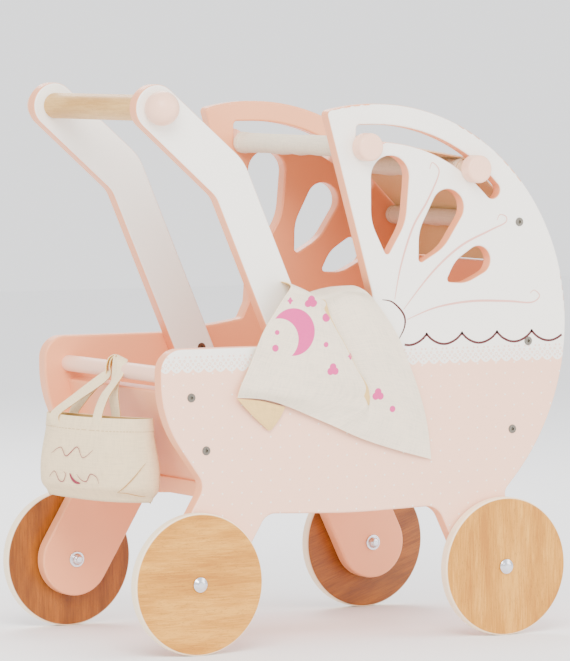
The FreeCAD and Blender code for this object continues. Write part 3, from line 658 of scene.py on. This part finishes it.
def make_ornament():
    """A woven ornament as threads on the near face, and painted shade lines along the corner's folds."""
    ink = plain_paint("thread_maroon", linear(128, 50, 66))
    fold_shade = plain_paint("fold_shade_tan", linear(176, 136, 90))
    # painted shade: tan lines where the corner folds
    bag_stroke("corner_fold_upper", [(-69, 0.46), (-58, 0.30), (-44, 0.16), (-34, 0.10)], 0.0010, fold_shade)
    bag_stroke("corner_fold_lower", [(-34, 0.10), (-46, 0.09), (-58, 0.06), (-66, 0.05)], 0.0008, fold_shade)
    bag_stroke("ornament_crescent", [(22, 0.30), (19, 0.24), (14, 0.20), (8, 0.19)], 0.0030, ink)
    bag_stroke("ornament_left",
               [(52, 0.22), (44, 0.30), (38, 0.20), (32, 0.19), (28, 0.28), (31, 0.31)], 0.0009, ink)
    bag_stroke("ornament_right",
               [(12, 0.30), (7, 0.24), (0, 0.22), (-6, 0.31), (-13, 0.28), (-15, 0.20)], 0.0009, ink)
    bag_stroke("ornament_top",
               [(48, 0.52), (36, 0.60), (28, 0.50), (14, 0.62), (4, 0.50), (-10, 0.60)], 0.0009, ink)


# painted shade: the straps' back face is a darker copy of their canvas
STRAP = canvas("strap_canvas", linear(236, 220, 190), back=linear(204, 166, 112), weave=0.0013)
STRAP_WIDTH = 0.0115


def ribbon(name, controls, material, width=STRAP_WIDTH, thick=0.0013, per_span=12):
    """A strap through (place, across) controls; across is the direction of its width."""
    path = catmull([p for p, _ in controls], per_span)
    sides = catmull([s.normalized() for _, s in controls], per_span)
    run = lengths(path)
    rows, coords = [], []
    for i, (point, side) in enumerate(zip(path, sides)):
        ahead = path[min(i + 1, len(path) - 1)] - path[max(i - 1, 0)]
        side = (side - ahead * (side.dot(ahead) / ahead.length_squared)).normalized()
        row, place = [], []
        for j in range(9):
            off = (j / 8 - 0.5) * width
            cup = 0.0004 * math.cos(math.pi * (j / 8 - 0.5))
            row.append(point + side * off + ahead.cross(side).normalized() * cup)
            place.append((off, run[i]))
        rows.append(row)
        coords.append(place)
    return cloth_mesh(name, rows, coords, material, thick,
                      raised=lambda i, j: 0.0003 if j in (1, 7) else 0.0)


def make_straps():
    """Two straps, each up from the rim, on to the top of the dowel and down the same side."""
    along = (bag_point(0, 0.01, 0) - bag_point(0, 0, 0)).normalized()
    top = DOWEL.z + DOWEL_R

    near = Vector((DOWEL.x - DOWEL_R - 0.0012, 0, 0))

    def part_way(foot, y):
        return foot.lerp(Vector((near.x, y, DOWEL.z)), 0.45)

    def strap(name, node, depth, left, right, arch_y):
        foot_left, foot_right = bag_point(depth, left, BAG_RIM), bag_point(depth, right, BAG_RIM)
        down = Vector((0, 0, -0.0115))
        spread = 0.0120
        controls = [
            (foot_left + down, along),
            (foot_left, along),
            (part_way(foot_left, arch_y + spread) + Vector((-0.003, 0, -0.003)),
             (along + Vector((0.5, 0, 0.75))).normalized()),
            (Vector((near.x - 0.0012, arch_y + spread * 1.05, DOWEL.z - 0.004)), Vector((0.55, 0.25, 0.8))),
            (Vector((DOWEL.x - 0.0050, arch_y + spread * 0.75, top + 0.0016)), Vector((0.85, 0.50, -0.12))),
            (Vector((DOWEL.x - 0.0006, arch_y, top + 0.0046)), Vector((0.88, 0.0, -0.46))),
            (Vector((DOWEL.x - 0.0055, arch_y - spread * 0.75, top + 0.0016)), Vector((0.80, -0.60, -0.10))),
            (Vector((near.x - 0.0014, arch_y - spread * 1.05, DOWEL.z - 0.004)), Vector((0.30, -0.95, 0.15))),
            (part_way(foot_right, arch_y - spread) + Vector((-0.003, 0, 0.0)),
             (-along + Vector((0.05, 0, 0.10))).normalized()),
            (foot_right, -along),
            (foot_right + down, -along),
        ]
        thing = ribbon(name, controls, STRAP)
        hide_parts(node)
        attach(thing, "bag")

    strap("bag_strap_front", "bag_strap_right", -0.0135, 0.047, -0.010, 0.0)
    strap("bag_strap_back", "bag_strap_left", 0.0120, 0.047, -0.010, 0.006)


# ---------------------------------------------------------------- blanket
def blanket_prints(n, u, v, color):
    """A large crescent with dots, stars and hearts round it, on the hanging part."""
    x, y, z = n.split(n.object_coords())
    x = n.math("SUBTRACT", x, AXLE.x)

    def reach(cx, cz, squeeze=1.0):
        dx = n.math("MULTIPLY", n.math("SUBTRACT", x, cx * MM), squeeze)
        dz = n.math("SUBTRACT", z, cz * MM)
        return n.distance(dx, dz)

    ink = n.math("MULTIPLY", n.below(reach(104, 305), 0.0228, 0.0003),
                 n.above(reach(89, 298), 0.0203, 0.0003))
    for cx, cz, radius in ((87, 305, 2.4), (85, 290, 3.4), (139, 318, 4.2), (139, 292, 2.6), (215, 227, 3.2)):
        ink = n.math("MAXIMUM", ink, n.below(reach(cx, cz), radius * MM, 0.0003))
    for cx, cz in ((147, 268), (199, 242), (122, 334)):
        for lobe in (-2.6, 2.6):
            ink = n.math("MAXIMUM", ink, n.below(reach(cx + lobe, cz - 2.0), 0.0036, 0.0003))
        ink = n.math("MAXIMUM", ink, n.below(reach(cx, cz + 2.2), 0.0036, 0.0003))
    for cx, cz in ((101, 335), (166, 280)):
        ink = n.math("MAXIMUM", ink, n.below(reach(cx, cz, 2.2), 0.0034, 0.0003))
        ink = n.math("MAXIMUM", ink, n.below(reach(cx, cz, 0.45), 0.0013, 0.0003))
    outside = n.below(y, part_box("side_panel_right")[0].y - 0.0005, 0.0002)
    return n.mix(n.math("MULTIPLY", n.math("MULTIPLY", ink, outside), 0.92), color, PRINT_PINK)


# the blanket's back face, darker and browner than its front, as painted shade; the turned-up corner shows it
BLANKET_BACK_PAINTED_SHADE = linear(230, 200, 152)
BLANKET_CLOTH = canvas("blanket_canvas", linear(242, 230, 212), back=BLANKET_BACK_PAINTED_SHADE, prints=blanket_prints)
BLANKET_BACK = canvas("blanket_back", BLANKET_BACK_PAINTED_SHADE)


def grid_surface(controls, per_span):
    """A smooth grid of points through a coarse grid of controls."""
    long_rows = [catmull(row, per_span) for row in controls]
    columns = [catmull([row[j] for row in long_rows], per_span) for j in range(len(long_rows[0]))]
    return [[columns[j][i] for j in range(len(columns))] for i in range(len(columns[0]))]


def grid_coords(rows):
    """Places on the flat cloth, from the lengths of the middle row and the middle column."""
    across = lengths(rows[len(rows) // 2])
    down = lengths([row[len(row) // 2] for row in rows])
    return [[(across[j], down[i]) for j in range(len(rows[0]))] for i in range(len(rows))]


def on_face(x, z, out):
    """A place on the right side panel's outer face, out mm clear of it."""
    return at(x, 0, z) + Vector((0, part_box("side_panel_right")[0].y - out * MM, 0))


# Each row runs from the left edge to the pleat, back under it, and on to the right edge:
# (x, z, mm clear of the panel) for the left edge, middle, pleat, turn, under layer, right edge.
BLANKET_ROWS = [
    [(103, 350, 6), (120, 343, 9), (138, 334, 9.5), (133, 337, 6.5), (158, 343, 6), (182, 344, 6)],
    [(92, 334, 6), (117, 328, 9.5), (145, 318, 9.8), (131, 322, 6.0), (170, 336, 6.5), (199, 329, 5)],
    [(75, 309, 5), (112, 301, 9.5), (161, 291, 9.6), (143, 296, 5.6), (187, 306, 7), (221, 299, 4.5)],
    [(66, 290, 4.5), (102, 281, 9), (172, 270, 9.2), (157, 274, 5.2), (203, 276, 7), (236, 268, 4.2)],
    [(57, 270, 4.5), (94, 261, 8), (184, 248, 8.5), (174, 251, 5.2), (216, 247, 7), (248, 238, 4)],
    [(49, 255, 5.5), (88, 246, 7), (176, 232, 7.2), (192, 227, 6.4), (230, 219, 6.5), (256, 210, 3.6)],
    [(44, 244, 8), (83, 239, 6), (140, 217, 6), (180, 200, 5.4), (220, 187, 5), (261, 176, 3)],
]
GATHERS, GATHER = 6, 0.013


def make_blanket():
    inside_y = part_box("side_panel_right")[1].y
    rows = []
    # the part inside the pram, from its lowest row up to the panel's top edge
    for depth, drop in ((0.034, -100), (0.032, -55), (0.026, -16), (0.010, 1.5)):
        rows.append([Vector((at(x, 0, 0).x, inside_y + depth + (out - 6) * 0.0004, at(0, 0, z + drop).z))
                     for x, z, out in BLANKET_ROWS[0]])
    rows += [[on_face(*place) for place in row] for row in BLANKET_ROWS]
    surface = grid_surface(rows, 12)
    for i, row in enumerate(surface):
        for j, point in enumerate(row):
            point.y -= 0.0005 * math.sin(j * 0.31 + 0.8) * math.sin(i * 0.08 + 2.1)
            # the cloth bunches where it is drawn in between the arm and the hood, out of sight
            hidden = smoothstep(1.0 - i / 34)
            point.y += GATHER * hidden * math.sin(2 * math.pi * GATHERS * j / (len(row) - 1))
    thing = cloth_mesh("blanket_cloth", surface, grid_coords(surface), BLANKET_CLOTH, 0.0012)
    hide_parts("blanket")
    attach(thing, "frame")

    corner = [[(44, 243, 6.5), (70, 240, 4.4), (98, 233, 3.6)],
              [(62, 226, 4.6), (76, 223, 3.6), (92, 222, 3.0)],
              [(80, 211, 3.2), (82, 211, 2.8), (84, 212, 2.4)]]
    flap = grid_surface([[on_face(*place) for place in row] for row in corner], 8)
    turned_up = cloth_mesh("blanket_corner", flap, grid_coords(flap), BLANKET_BACK, 0.0010)
    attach(turned_up, "frame")


# ---------------------------------------------------------------- painted lines
MAROON_PAINT = plain_paint("maroon_paint", MAROON)
CURL_PAINT = plain_paint("curl_paint", CURL_PINK)


def stroke(name, points, widest, material, side, taper=True, proud=0.00015):
    """A painted line on a side panel's outer face, through (x, z) places in mm."""
    path = catmull([at(x, 0, z) for x, z in points], 10)
    run = lengths(path)
    face = (OUTER + proud) * side
    verts, faces = [], []
    for i, point in enumerate(path):
        ahead = path[min(i + 1, len(path) - 1)] - path[max(i - 1, 0)]
        square = Vector((-ahead.z, 0, ahead.x)).normalized()
        share = run[i] / run[-1]
        swell = 0.30 + 0.70 * math.sin(math.pi * min(1, max(0, share)))
        half = widest / 2 * (swell if taper else 1.0)
        for sign in (1, -1):
            spot = point + square * half * sign
            verts.append((spot.x, face, spot.z))
    for i in range(len(path) - 1):
        a = 2 * i
        face_loop = (a, a + 1, a + 3, a + 2)
        faces.append(face_loop if side < 0 else face_loop[::-1])
    mesh = bpy.data.meshes.new(name)
    mesh.from_pydata(verts, [], faces)
    thing = smooth_mesh(name, mesh, material)
    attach(thing, "frame")


def paint_panels():
    """The fan of curls above a scalloped line, on both panels."""
    pitch, top, dip = 40, 298, 10
    scallop = []
    for k in range(5):
        for step in range(9):
            share = step / 8
            x = 217 + pitch * k + pitch * share
            if 232 <= x <= 414:
                scallop.append((x, top - dip * math.sin(math.pi * share) ** 0.8))
    curls = (
        [(221, 333), (228, 366), (241, 402), (257, 427), (269, 450), (270, 459), (263, 465), (260, 459)],
        [(231, 323), (263, 358), (295, 383), (329, 398), (346, 405), (347, 411), (340, 413), (337, 408)],
        [(235, 313), (268, 324), (308, 329), (349, 328), (376, 326), (386, 332), (380, 338), (375, 335)],
    )
    hub = [(207, 333), (219, 330), (231, 318), (232, 306), (225, 293)]
    for side, label in ((-1, "right"), (1, "left")):
        stroke("scallop_" + label, scallop, 0.0023, MAROON_PAINT, side, taper=False)
        stroke("hub_arc_" + label, hub, 0.0021, MAROON_PAINT, side)
        for k, curl in enumerate(curls):
            stroke("curl_%d_%s" % (k + 1, label), curl, 0.0022, CURL_PAINT, side)


# ---------------------------------------------------------------- finishes on the CAD nodes
def finish_nodes():
    panel = panel_paint()
    # painted shade: the end walls and floor take the darker blush
    pink = plain_paint("pink_paint", BLUSH_PAINTED_SHADE)
    pale = plain_paint("pale_pink_paint", linear(245, 206, 186))
    white = arm_paint()
    cream = beech("cream_wood", (0, 0, math.pi / 2), None, (238, 229, 212), (230, 216, 192))
    level = beech("beech_level", (0, 0, 0), "wheel_rear_right")
    upright = beech("beech_upright", (0, math.pi / 2, 0), "wheel_front_right")
    # painted shade: the two far wheels take a darker beech than the near ones
    tilted = beech("beech_tilted_shaded", (0, math.radians(20), 0), "wheel_front_left", (146, 96, 60), (108, 66, 38))
    far = beech("beech_far_shaded", (0, math.pi / 2, 0), "wheel_rear_left", (146, 96, 60), (108, 66, 38))
    grip = beech("beech_grip", (0, 0, math.pi / 2), None, (208, 174, 128), (180, 140, 92))
    metal, steel = chrome(), dark_steel()
    looks = {
        "side_panel_left": panel, "side_panel_right": panel,
        "handle_arm_left": white, "handle_arm_right": white, "handle_grip": grip,
        "handle_ball_left": pale, "handle_ball_right": pale, "rear_dowel": pale,
        "fixed_hood_rod": cream, "front_bow_rod": cream, "second_bow_rod": cream,
        "handle_end_wall": pink, "head_end_wall": pink, "floor_panel": pink,
        "front_bow_knob_left": pale, "front_bow_knob_right": pale,
        "second_bow_knob_left": pale, "second_bow_knob_right": pale,
        "wheel_rear_right": level, "wheel_front_right": upright,
        "wheel_rear_left": far, "wheel_front_left": tilted,
        "panel_screws_left": steel, "panel_screws_right": steel,
        "arm_screws_left": steel, "arm_screws_right": steel,
    }
    for name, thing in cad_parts.items():
        look = looks.get(name)
        if look is None:
            look = metal if name.startswith(("axle_bolt", "cap_nut", "washer")) else BAG_CLOTH
        thing.data.materials.clear()
        thing.data.materials.append(look)


# ---------------------------------------------------------------- floor, lights and camera
def build_stage():
    """A pale floor and world, three soft lights, and the camera at a long lens."""
    mesh = bpy.data.meshes.new("floor")
    mesh.from_pydata([(-6, -6, 0), (6, -6, 0), (6, 6, 0), (-6, 6, 0)], [], [(0, 1, 2, 3)])
    n = Nodes("floor_pale")
    floor_thing = bpy.data.objects.new("floor", mesh)
    mesh.materials.append(n.finish((0.93, 0.93, 0.935, 1), 0.9))
    bpy.context.scene.collection.objects.link(floor_thing)

    world = bpy.data.worlds.new("studio")
    bpy.context.scene.world = world
    world.use_nodes = True
    background = world.node_tree.nodes["Background"].inputs
    background["Color"].default_value = (0.98, 0.985, 1.0, 1)
    background["Strength"].default_value = 1.75

    def area(name, place, size, power, color=(1, 1, 1)):
        light = bpy.data.lights.new(name, "AREA")
        light.shape, light.size, light.energy, light.color = "SQUARE", size, power, color
        thing = bpy.data.objects.new(name, light)
        thing.location = place
        aim = Vector((0, 0, 0.27)) - Vector(place)
        thing.rotation_euler = aim.to_track_quat("-Z", "Y").to_euler()
        bpy.context.scene.collection.objects.link(thing)

    area("key_light", (-1.2, -2.0, 1.9), 1.5, 105, (1.0, 0.985, 0.96))
    area("fill_light", (1.7, -1.6, 1.0), 1.6, 30)
    area("back_light", (0.5, 1.8, 1.8), 1.2, 40)

    data = bpy.data.cameras.new("camera")
    data.lens = 267.75
    data.sensor_width = 36
    camera = bpy.data.objects.new("camera", data)
    camera.location = (-2.34575, -4.2475, 0.5863)
    aim = Vector((-0.00191, 0, 0.29719)) - camera.location
    camera.rotation_euler = aim.to_track_quat("-Z", "Y").to_euler()
    bpy.context.scene.collection.objects.link(camera)
    bpy.context.scene.camera = camera


finish_nodes()
finish_canopy()
make_bag()
make_ornament()
make_straps()
make_blanket()
paint_panels()
build_stage()
